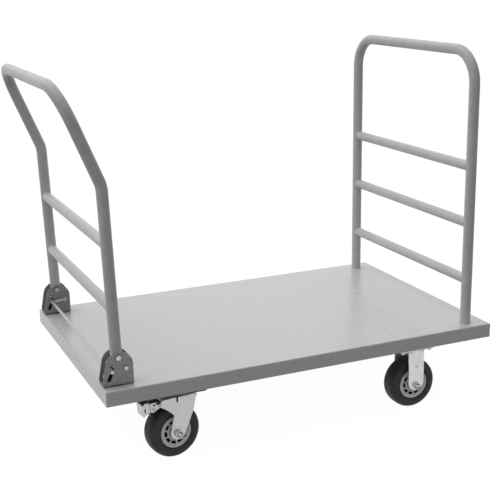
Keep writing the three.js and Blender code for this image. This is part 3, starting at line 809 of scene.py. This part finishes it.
def hinge_bracket(name, side):
    bottom = box(f"hinge_bracket_{name}")[0].z - PIVOT.z
    half = BRACKET_HALF - SHEET / 2
    route = [(-half, 30), (-half, bottom + SHEET / 2), (half, bottom + SHEET / 2), (half, 30)]
    work = prism(sheet_outline(route, [4, 4], SHEET), -60, 60, across)
    carve(work, [prism(bracket_outline(bottom), -30, 30)], "INTERSECT")
    holes = [circle(PIVOT_BOLT_RADIUS + GAP, 32), circle(PIN_RADIUS + GAP, 24, PIN)]
    holes += [capsule(ROD, SLOT_END, SLOT_RADIUS), NOTCH]
    carve(work, [prism(outline, -30, 30) for outline in holes])

    # Painted shade: the inner faces, the slot's walls and the base's lower bend, which faces down, take the
    # dark inner finish.
    def shaded(place, normal):
        inside = abs(place.y) < BRACKET_HALF - 0.6 and normal.y * place.y <= 0
        return inside or normal.z < -0.35 and place.z < bottom + 6

    stand = at_pivot(side)
    lining = (INNER_PAINTED_SHADE, shaded)
    piece(soften(work), f"hinge_bracket_{name}", "deck", "bracket_paint", HAMMERED, stand, lining=lining)
    places = [Matrix.Translation((x, 0, bottom + SHEET)) for x in (-20, 22)]
    heads = [shifted(domed(7.5, 3.5, 0, 1), place @ FLAT) for place in places]
    extra(join(*heads), f"bracket_bolts_{name}", "deck", "zinc", ZINC, stand)


def pivot_fastening(name, side):
    """The bolt that a leg turns on, with a thin dark ring under its head, and its nut."""
    stand = at_pivot(side)
    seat = -FACE - RING
    work = bolt(PIVOT_BOLT_RADIUS, seat, BRACKET_HALF + 11, 2.4, 14.6)
    piece(work, f"pivot_bolt_{name}", "deck", "zinc", DULL_ZINC, stand)
    ring = washer(PIVOT_BOLT_RADIUS + 0.2, 9.2, seat, -FACE)
    extra(ring, f"pivot_washer_{name}", "deck", "bracket_paint", DARK_PAINT_AND_SHADE, stand)
    piece(nut(PIVOT_BOLT_RADIUS, FACE), f"pivot_nut_{name}", "deck", "zinc", ZINC, stand)


def spring_pin(name, side):
    """A pin through both plates, with a domed head outside and a small head that keeps the spring on."""
    inner = -side * (SPRING_Y + 7.5)
    seat = side * (FACE + RING)
    top = seat + side * 1.8
    body = turned(rectangle(0, seat, PIN_RADIUS, inner), 32)
    head = turned(rounded(rectangle(0, seat, 6.4, top), [0, 0.2, 0.7, 0]))
    keeper = domed(5.5, 2.0, inner, -side)
    work = shifted(join(keeper, body, head), Matrix.Translation((PIN.x, 0, PIN.y)))
    piece(work, f"spring_pin_{name}", "deck", "zinc", DULL_ZINC, at_pivot(side))
    ring = washer(PIN_RADIUS + 0.2, 7.8, *sorted((side * FACE, seat)))
    extra(ring, f"pin_washer_{name}", "deck", "bracket_paint", DARK_PAINT_AND_SHADE, at_pivot(side, PIN))


def latch_spring(name, side):
    """A tension spring whose coils run from a loop round the rod to a loop round the pin."""
    thick, coil_radius, loop_radius, turns, per_turn = 0.75, 3.6, 5.2, 13, 16
    span = PIN - ROD
    tilt = math.atan2(span.y, span.x)
    length = span.length
    first = loop_radius + 2.2
    count = turns * per_turn
    coils = []
    for i, along in enumerate(steps(count, first, length - first)):
        a = 2 * math.pi * i / per_turn
        coils.append((along, coil_radius * math.sin(a), coil_radius * math.cos(a)))
    loop = [(u, 0.0, v) for u, v in arc((0, 0), loop_radius, -320, -10, 18)]
    far_loop = [(length - u, v, w) for u, v, w in loop[::-1]]
    points = [Vector(p) for p in [*loop, *coils, *far_loop]]
    stations = []
    for i, place in enumerate(points):
        before, after = points[max(i - 1, 0)], points[min(i + 1, len(points) - 1)]
        stations.append((place, (after - before).normalized()))
    work = loft(rings(stations, [thick] * len(stations), 8), capped=True)
    centre = Vector((PIVOT.x + ROD.x, side * (LEG_Y - SPRING_Y), PIVOT.z + ROD.y))
    shifted(work, Matrix.Translation(centre) @ Matrix.Rotation(-tilt, 4, "Y"))
    piece(work, f"latch_spring_{name}", None, "spring_steel", WIRE, smooth=80)
    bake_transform(work)


def lock_rod():
    low, high = box("lock_rod")
    chamfer = 0.8
    inner = ROD_RADIUS - chamfer
    profile = [(0, low.y), (inner, low.y), (ROD_RADIUS, low.y + chamfer)]
    profile += [(ROD_RADIUS, high.y - chamfer), (inner, high.y), (0, high.y)]
    stand = at_pivot(0, ROD)
    piece(turned(profile, 32), "lock_rod", "lock_rod", "zinc", DULL_ZINC, stand)
    for name, side in SIDES.items():
        cap = domed(5.8, 2.4, side * (LEG_Y + FACE), side)
        piece(cap, f"rod_cap_{name}", "lock_rod", "zinc", DULL_ZINC, stand)


# ---------------- wheels

TYRE_RADIUS = 77.0
TYRE_HALF = 27.0
RIM_RADIUS = 44.0
RIM_LIP = 46.0
AXLE_RADIUS = 6.0
NYLON_RADIUS = 8.3
LEG_FACE = 42.0
NUT_SEAT = LEG_FACE + GAP
BOLT_TIP = NUT_SEAT + 9.3
POCKETS = 10
POCKET_INNER = 26.7
POCKET_OUTER = 35.0
POCKET_HALF_TURN = 13.4


def tyre_profile():
    """A squarish tread over upright walls, with a mould line on each shoulder and a groove by the rim."""
    shoulder, squareness = 54.0, 0.55
    tread = []
    for a in steps(64, -math.pi / 2, math.pi / 2):
        y = TYRE_HALF * math.copysign(abs(math.sin(a)) ** squareness, a)
        r = shoulder + (TYRE_RADIUS - shoulder) * max(math.cos(a), 0) ** squareness
        tread.append((r, y))
    wall = [(RIM_RADIUS + 0.3, 1.8), (RIM_LIP + 0.4, 1.8), (RIM_LIP + 0.6, 2.6), (RIM_LIP + 2.0, 2.4)]
    wall += [(RIM_LIP + 2.8, 0.2), (shoulder - 2.6, 0.0), (shoulder - 1.7, 0.6), (shoulder - 0.8, 0.0)]
    low = [(r, inset - TYRE_HALF) for r, inset in wall]
    high = [(r, TYRE_HALF - inset) for r, inset in wall[::-1]]
    return low + tread + high


def hub_profile():
    """The hub's section: its boss, a groove, an inner ring, the spokes' face and an outer ring with a lip."""
    half = 37.0
    corners = [(AXLE_RADIUS + GAP, half), (13.5, half), (16.2, half - 6)]
    corners += [(16.6, 15), (19.2, 15), (19.4, 25.6), (POCKET_INNER - 0.8, 26.0), (POCKET_INNER - 0.2, 25.2)]
    corners += [(POCKET_OUTER + 0.4, 25.2), (POCKET_OUTER + 1.2, 26.2), (39.2, 26.4), (39.8, 25.7)]
    corners += [(42.2, 25.7), (43.0, 27.2), (RIM_LIP, 27.2), (RIM_LIP, 25.6), (RIM_RADIUS, 25.6)]
    radii = [0.4, 1.5, 0.8, 0.4, 0.4, 0.5, 0.3, 0.2, 0.2, 0.3, 0.3, 0.2, 0.3, 0.5, 0.6, 0.3, 0.2]
    mirrored = [(r, -y) for r, y in corners[::-1]]
    return rounded(corners + mirrored, radii + radii[::-1], 3)


def pocket(angle):
    """A drafted cutter for one of the pockets between the hub's spokes."""
    rows = []
    for y, grow in ((10.0, -0.5), (27.0, 0.0)):
        turn = POCKET_HALF_TURN + math.degrees(grow / POCKET_OUTER)
        outer = arc((0, 0), POCKET_OUTER + grow, angle - turn, angle + turn, 6)
        inner = arc((0, 0), POCKET_INNER - grow, angle + turn, angle - turn, 6)
        rows.append([(u, y, v) for u, v in outer + inner])
    return loft(rows, capped=True)


def in_pocket(place, normal):
    """Whether a face of the hub lies inside one of its pockets."""
    radius = math.hypot(place.x, place.z)
    return POCKET_INNER - 0.1 < radius < POCKET_OUTER + 0.1 and abs(place.y) < 24.0


def hub():
    work = turned(hub_profile(), 96)
    for mirror in (1, -1):
        tool = join(*[pocket(a) for a in steps(POCKETS, 3, 363)[:-1]])
        tool.data.transform(Matrix.Diagonal((1, mirror, 1, 1)))
        if mirror < 0:
            tool.data.flip_normals()
        carve(work, [tool])
    return soften(work, 0.3, 2, 50)


def lock_nut():
    """The axle's nut, with a round collar at its far end, which grips a dark nylon ring."""
    body = hexagon(19.0, -NUT_SEAT - 6.4, -NUT_SEAT)
    top = -NUT_SEAT - 8.2
    foot = -NUT_SEAT - 5
    rim = rounded(rectangle(4, top, 9.2, foot), [0, 1.0, 0, 0])
    carve(body, [turned(rim)], "UNION")
    thread = AXLE_RADIUS + 0.2
    bore = [(0, 1 - NUT_SEAT), (thread, 1 - NUT_SEAT), (thread, top + 1.3)]
    bore += [(NYLON_RADIUS, top + 1.2), (NYLON_RADIUS, top - 2), (0, top - 2)]
    return soften(carve(body, [turned(bore, 40)]), 0.25)


def wheel(kind, name, matrix, carrier):
    """A wheel whose own frame stands at its axle, and the axle bolt and nut on the fork that carries it."""
    body = f"{kind}_wheel_{name}"
    tyre = turned(tyre_profile(), 128)
    piece(tyre, f"{kind}_tyre_{name}", body, "tyre", RUBBER, matrix)
    disc = hub()
    # The black finish in the pockets: on their floors the hub's black core, on their walls painted shade of
    # the pockets' depth.
    lining = (BLACK_PLASTIC, in_pocket)
    piece(disc, f"{kind}_hub_{name}", body, "hub", HUB_PLASTIC, matrix, lining=lining)
    turned_back = matrix @ Matrix.Rotation(math.pi, 4, "Z")
    screw = bolt(AXLE_RADIUS, -NUT_SEAT, BOLT_TIP)
    piece(screw, f"{kind}_axle_bolt_{name}", carrier, "zinc", AXLE_ZINC_PAINTED_LIGHT, turned_back)
    piece(lock_nut(), f"{kind}_axle_nut_{name}", carrier, "zinc", AXLE_ZINC_PAINTED_LIGHT, matrix)
    grip = washer(AXLE_RADIUS + 0.1, NYLON_RADIUS - 0.1, -NUT_SEAT - 7.8, -NUT_SEAT - 7.1)
    extra(grip, f"{kind}_nylon_ring_{name}", carrier, "tyre", BLACK_PLASTIC, matrix)


# ---------------- caster plates and forks

PLATE_BOTTOM = box("rigid_plate_front")[0].z
RACE_TOP = PLATE_BOTTOM - GAP
CROWN_TOP = box("swivel_fork_front")[1].z
FORK_SHEET = 4.0
CASTER_Y = abs(joint_place("swivel_turn_back").y)
KINGPIN_X = joint_place("swivel_turn_back").x
RIGID_X = joint_place("rigid_wheel_roll_back").x
TRAIL = 36.0
KINGPIN_RADIUS = 8.0
PLATE_BOLTS = [(x, y) for x in (-46, 46) for y in (-38, 38)]


def mounting_plate(node, x, y):
    low, high = box(node)
    half_x, half_y = (high.x - low.x) / 2, (high.y - low.y) / 2
    corners = rectangle(-half_x, -half_y, half_x, half_y)
    work = prism(rounded(corners, 10, 8), low.z, high.z, level)
    # Painted shade: the swivel plates' edges are painted dark for the shadow under the deck.
    lining = (DARK_PAINT_AND_SHADE, lambda place, normal: abs(normal.z) < 0.5) if node.startswith("swivel") else None
    piece(soften(work, 0.8, 3), node, "deck", "zinc", ZINC, at((x, y, 0)), lining=lining)


def plate_fasteners(name, x, y, low_heads):
    """The four bolts of a caster plate: low domes where the fork turns under them, nuts elsewhere."""
    parts = []
    for u, v in PLATE_BOLTS:
        if low_heads:
            part = domed(8.5, 4.2, 0, 1)
        else:
            part = join(nut(4.0, 0, 6.5, 13.0), shank(4.0, -1, 9, 0))
        parts.append(shifted(part, Matrix.Translation((u, v, PLATE_BOTTOM)) @ FLAT_DOWN))
    extra(join(*parts), f"{name}_plate_bolts", "deck", "zinc", ZINC, at((x, y, 0)))


def plug(outline, side, near, far):
    """A cutter that stands from near to far on one side of a caster's middle."""
    return prism(outline, *sorted((side * near, side * far)))


def axle_hole(x):
    return prism(circle(AXLE_RADIUS + GAP, 40, (x, TYRE_RADIUS)), -60, 60)


def rigid_fork(node, matrix):
    """A fork pressed from one sheet: a flat crown and two upright legs, each with a V pressed into it."""
    half, fold = 26.0, 7.0
    route_y = LEG_FACE - FORK_SHEET / 2
    route_top = RACE_TOP - FORK_SHEET / 2
    route = [(-route_y, 40), (-route_y, route_top), (route_y, route_top), (route_y, 40)]
    work = prism(sheet_outline(route, [fold] * 2, FORK_SHEET, 7), -half - 5, half + 5, across)
    round_centre = (0, TYRE_RADIUS + 11)
    outline = [(half, RACE_TOP + 1), (-half, RACE_TOP + 1), *arc(round_centre, half, 180, 360, 28)]
    carve(work, [prism(outline, -60, 60)], "INTERSECT")
    v_tip, v_half, v_top = 138.0, 14.5, RACE_TOP + 12
    tools = [axle_hole(0)]
    for side in SIDES.values():
        rows = []
        for depth, grow in ((1.8, -1.0), (1.6, 0.0), (0.9, 1.9), (0.25, 3.6), (0.0, 4.6), (-1.0, 7.4)):
            upper, lower, foot = v_half + grow, 3.2 + grow * 0.6, v_tip - grow * 1.2
            corners = [(upper, v_top), (-upper, v_top), (-lower, foot), (lower, foot)]
            outline = rounded(corners, [0, 0, 1.8, 1.8], 4)
            rows.append([(u, side * (LEG_FACE - depth), v) for u, v in outline])
        tools.append(loft(rows, capped=True))
    carve(work, tools)
    piece(soften(work, 0.6, 3, 30), node, "deck", "zinc", BRIGHT_ZINC, matrix)


def swivel_outline():
    """A swivel leg in X and Z from the kingpin, with the wing that arches over the tyre."""
    wing_tip, wing_foot = (-88, CROWN_TOP - 18), (-46, 132)
    round_centre = (-TRAIL, TYRE_RADIUS + 5)
    outline = [(60, CROWN_TOP + 1), (-81, CROWN_TOP + 1)]
    outline += [wing_tip, *curve(wing_tip, (-62, 152), wing_foot), wing_foot]
    outline += [*arc(round_centre, 22, 171, 346, 24), (13, 139)]
    return outline + [(20, CROWN_TOP - 10), (26, CROWN_TOP - 5.5), (60, CROWN_TOP - 5.5)]


def swivel_fork(node, matrix, body):
    """The turning fork. Its wings are set in a little from its legs, with a slit where they part."""
    wing_face, step = 39.6, -34.0
    outer_line = [(-95, wing_face), (step - 3, wing_face), (step + 2, LEG_FACE), (17, LEG_FACE)]
    half_plan = outer_line + arc((14, 0), 30, 62, 0, 10)
    plan = half_plan + [(u, -v) for u, v in half_plan[::-1]]
    work = prism(plan, CROWN_TOP - FORK_SHEET, CROWN_TOP, level)
    leg_line = outer_line + [(24, LEG_FACE)]
    leg_plan = leg_line + [(u, v - FORK_SHEET) for u, v in leg_line[::-1]]
    leg_plans = [[(u, side * v) for u, v in leg_plan] for side in SIDES.values()]
    carve(work, [prism(leg, 50, CROWN_TOP - 1, level) for leg in leg_plans], "UNION")
    carve(work, [prism(swivel_outline(), -60, 60)], "INTERSECT")
    soften_where(work, lambda p: p.z > CROWN_TOP - 0.05 and (abs(p.y) > 30 or p.x > 20), 3.4, 6)
    slit_back, slit_foot, slit_floor = step - 4.4, 169, 37.5
    slit = rounded(rectangle(slit_back, slit_foot, step, CROWN_TOP + 2), 1.4, 3)
    tools = [axle_hole(-TRAIL), prism(circle(KINGPIN_RADIUS + GAP, 40), 150, 200, level)]
    carve(work, tools + [plug(slit, side, slit_floor, 60) for side in SIDES.values()])

    # Painted shade: the slit is a groove, not a cut through, and its walls and floor are painted dark as the
    # shade of a gap.
    def in_slit(place, normal):
        deep = slit_floor - 0.2 < abs(place.y) < LEG_FACE - 0.2
        return deep and slit_back - 0.2 < place.x < step + 0.2 and place.z > slit_foot - 0.2

    piece(soften(work, 0.6, 3, 30), node, body, "zinc", ZINC, matrix, lining=(DARK_PAINT_AND_SHADE, in_slit))


def kingpin(node, matrix):
    """The turning race, the pin and the nut that is peened over under the crown."""
    top, bottom = RACE_TOP, CROWN_TOP + GAP
    corners = [(0, top), (36, top), (36, top - 2), (34.2, (top + bottom) / 2)]
    corners += [(35.5, bottom + 1.4), (34.5, bottom), (0, bottom)]
    race = turned(rounded(corners, [0, 0.8, 0.6, 0.8, 0.5, 0.4, 0], 3), 64)
    seat = CROWN_TOP - FORK_SHEET - GAP
    pin = shank(KINGPIN_RADIUS, -bottom - 0.5, -seat + 8.5, -seat)
    head = hexagon(24, -seat, -seat + 6)
    race.data.transform(FLAT)
    for part in (pin, head):
        part.data.transform(FLAT_DOWN)
    piece(join(race, pin, head), node, "deck", "zinc", ZINC, matrix)


# ---------------- brake, with places in X and Z from the kingpin and the floor

BRAKE_PIVOT = Vector((-100.0, 156.0))
CHEEK_TOP = CROWN_TOP - FORK_SHEET - GAP


def brake_bracket(node, matrix, body):
    """A small channel under the crown, with shallow pits in its cheeks and the pedal's pin across them."""
    outer, pit = 23.0, 2.0
    half = outer - SHEET / 2
    web = CHEEK_TOP - SHEET / 2
    route = [(-half, 130), (-half, web), (half, web), (half, 130)]
    work = prism(sheet_outline(route, [4, 4], SHEET), -112, -56, across)
    cheek = [(-60, CHEEK_TOP + 1), (-108, CHEEK_TOP + 1)]
    cheek += [*arc(BRAKE_PIVOT, 8, 180, 315, 14), (-60, CHEEK_TOP - 12)]
    carve(work, [prism(cheek, -40, 40)], "INTERSECT")
    hole, slot = (-97.5, 168.5), (Vector((-88, 170.8)), Vector((-81, 173.6)))
    for side in SIDES.values():
        outlines = (circle(3.2, 24, hole), capsule(*slot, 2.8))
        carve(work, [plug(outline, side, outer - pit, 40) for outline in outlines])
    end, hollow = outer + 1, 2.9
    half_pin = [(0, 18), (hollow, 18), (hollow, end), (3.4, end)]
    pin = turned(half_pin + [(r, -y) for r, y in half_pin[::-1]], 24)
    heads = [domed(5.6, 1.4, side * (outer + 0.1), side, hollow + 0.1) for side in SIDES.values()]
    fitting = shifted(join(pin, *heads), Matrix.Translation((BRAKE_PIVOT.x, 0, BRAKE_PIVOT.y)))

    # Painted shade: the pin's bore, the shallow pits in the cheeks, which stand for holes, and the top of the
    # web under the crown are painted dark.
    def shaded(place, normal):
        bored = math.hypot(place.x - BRAKE_PIVOT.x, place.z - BRAKE_PIVOT.y) < hollow + 0.2
        near_hole = math.hypot(place.x - hole[0], place.z - hole[1]) < 3.4
        near_slot = slot[0].x - 3 < place.x < slot[1].x + 3 and slot[0].y - 3 < place.z < slot[1].y + 3
        pitted = outer - pit - 0.2 < abs(place.y) < outer - 0.1 and (near_hole or near_slot)
        return bored or pitted or normal.z > 0.5 and place.z > CHEEK_TOP - 3

    piece(join(soften(work, 0.4), fitting), node, body, "zinc", ZINC, matrix, lining=(DARK_PAINT_AND_SHADE, shaded))


def brake_pedal(node, matrix, body):
    """One bent strip from the shoe at the tyre, past the pivot, to the toe. Its sides reach the pin."""
    half, boss, groove = 19.7, 6.5, 1.6
    route = [(-99.5, 131), (-110, 150), (-111.5, 173.5), (-124, 177), (-128.5, 168), (-125.5, 138)]
    work = prism(sheet_outline(route, [8, 4, 5, 14], SHEET, 8), -half, half)
    ear = [(-124, 174), (-127.5, 165), (-125.5, 139.5), (-117, 144.5), (-109, 149.5)]
    ear += [(BRAKE_PIVOT.x, BRAKE_PIVOT.y - boss), *arc(BRAKE_PIVOT, boss, -80, 90, 14), (-111.5, 173)]
    carve(work, [plug(ear, side, half - SHEET, half) for side in SIDES.values()], "UNION")
    gap = rounded([(-125, 150.5), (-121, 152), (-121, 161), (-125, 164.5)], 1.2, 3)
    shoe_side = [(-112, 147), (-112, 120), (-90, 120), (-90, 147)]
    tools = [prism(circle(3.3, 24, BRAKE_PIVOT), -40, 40)]
    for side in SIDES.values():
        tools += [plug(shoe_side, side, 10, 30), plug(gap, side, half - groove, 30)]
    carve(work, tools)

    # Painted shade: the shoe, the floor and walls of the groove in each ear, and the upper faces near the
    # toe's top are painted dark.
    def shaded(place, normal):
        shoe = place.z < 148 and place.x > -112
        sunk = half - groove - 0.2 < abs(place.y) < half - 0.1
        grooved = sunk and -125.2 < place.x < -120.8 and 150 < place.z < 165
        return shoe or grooved or normal.z > 0.3 and place.z > 168

    piece(soften(work, 0.5, 2, 30), node, body, "zinc", ZINC, matrix, lining=(DARK_PAINT_AND_SHADE, shaded))


def casters():
    for name, side in SIDES.items():
        y = side * CASTER_Y
        mounting_plate(f"rigid_plate_{name}", RIGID_X, y)
        plate_fasteners(f"rigid_{name}", RIGID_X, y, False)
        rigid_fork(f"rigid_fork_{name}", at((RIGID_X, y, 0)))
        wheel("rigid", name, at((RIGID_X, y, TYRE_RADIUS)), "deck")

        stand = at((KINGPIN_X, y, 0), YAW)
        carrier = f"swivel_{name}"
        mounting_plate(f"swivel_plate_{name}", KINGPIN_X, y)
        plate_fasteners(f"swivel_{name}", KINGPIN_X, y, True)
        kingpin(f"kingpin_{name}", at((KINGPIN_X, y, 0)))
        swivel_fork(f"swivel_fork_{name}", stand, carrier)
        brake_bracket(f"brake_bracket_{name}", stand, carrier)
        brake_pedal(f"brake_pedal_{name}", stand, f"brake_pedal_{name}")
        hub_place = Matrix.Translation(Vector((-TRAIL, 0, TYRE_RADIUS)) * MM)
        wheel("swivel", name, stand @ hub_place, carrier)


# ---------------- floor, light and camera

FLOOR_GLOW = 0.96
KEY_ENERGY = 0.98
KEY_FROM = (-0.35, 0.25, 0.9)
KEY_SPREAD = 70.0
DOME_BASE = 0.045
# Each part of the dome: its direction, the cosines where it starts and is full, and its strength.
DOME = (
    ((0.0, 0.0, 1.0), -0.15, 0.25, 0.3),
    ((-0.97, 0.1, 0.22), 0.0, 1.0, 0.16),
    ((0.39, 0.89, 0.24), 0.2, 1.0, 0.8),
)
# The photograph's camera, fitted to the deck's corners: degrees, metres and millimetres.
AZIMUTH, ELEVATION, ROLL = -23.5585, 15.1958, -0.96816
CAMERA_PLACE = (-1.2342, -2.84436, 1.3150)
LENS = 76.24


def studio_floor():
    """A wide plain floor, almost white. It glows, but throws no diffuse light on to the cart."""
    half = 60000
    corners = [(u, v, 0) for u, v in rectangle(-half, -half, half, half)]
    floor = new_object(corners, [(0, 1, 2, 3)], "floor")
    finish = Finish("floor", 0.0, 0.9)
    finish.colour(finish.noise(3, 2), grey(0.1), grey(0.11))
    finish.set("Specular IOR Level", 0.0)
    finish.set("Emission Color", (1, 1, 1, 1))
    finish.set("Emission Strength", FLOOR_GLOW)
    floor.data.materials.append(finish.made)
    floor.visible_diffuse = False


def studio_light():
    """A pale dome that is brightest beyond the cart and dark below, with a broad sun high on the left."""
    world = bpy.data.worlds.new("studio")
    bpy.context.scene.world = world
    nodes = Nodes(world)
    background = nodes.tree.nodes["Background"]
    background.inputs["Color"].default_value = (1, 1, 1, 1)
    place = nodes.node("ShaderNodeTexCoord")
    base = nodes.node("ShaderNodeValue")
    base.outputs[0].default_value = DOME_BASE
    total = base.outputs[0]
    for direction, start, full, strength in DOME:
        dot = nodes.vector_math("DOT_PRODUCT", place.outputs["Generated"], Vector(direction).normalized())
        spread = nodes.spread(dot.outputs["Value"], From_Min=start, From_Max=full, To_Max=strength)
        spread.interpolation_type = "SMOOTHSTEP"
        add = nodes.node("ShaderNodeMath")
        nodes.link(total, add.inputs[0])
        nodes.link(spread.outputs["Result"], add.inputs[1])
        total = add.outputs["Value"]
    nodes.link(total, background.inputs["Strength"])

    key = bpy.data.lights.new("key", "SUN")
    key.energy = KEY_ENERGY
    key.angle = math.radians(KEY_SPREAD)
    lamp = bpy.data.objects.new("key", key)
    lamp.rotation_euler = Vector(KEY_FROM).to_track_quat("Z", "Y").to_euler()
    bpy.context.scene.collection.objects.link(lamp)


def camera():
    """The camera, at the place and angle of the photograph."""
    azimuth, elevation, roll = (math.radians(a) for a in (AZIMUTH, ELEVATION, ROLL))
    ahead = Vector((-math.sin(azimuth), math.cos(azimuth), 0)) * math.cos(elevation)
    backward = Vector((0, 0, math.sin(elevation))) - ahead
    right = backward.cross(Vector((0, 0, 1))).normalized() * -1
    up = backward.cross(right)
    turned_frame = Matrix((right, up, backward)).transposed() @ Matrix.Rotation(roll, 3, "Z")
    data = bpy.data.cameras.new("camera")
    data.lens = LENS
    data.sensor_width = 36.0
    data.clip_end = 200
    made = bpy.data.objects.new("camera", data)
    made.matrix_world = Matrix.Translation(CAMERA_PLACE) @ turned_frame.to_4x4()
    bpy.context.scene.collection.objects.link(made)
    bpy.context.scene.camera = made


# ---------------- the cart

deck_pan()
for channel_node in CHANNELS:
    channel(channel_node)
stitch_welds()
fixed_handle()
folding_handle()
lock_rod()
for side_name, side_sign in SIDES.items():
    post_fastening(side_name, side_sign)
    hinge_bracket(side_name, side_sign)
    pivot_fastening(side_name, side_sign)
    spring_pin(side_name, side_sign)
    latch_spring(side_name, side_sign)
casters()
studio_floor()
studio_light()
camera()
bpy.context.scene.view_settings.view_transform = "Standard"
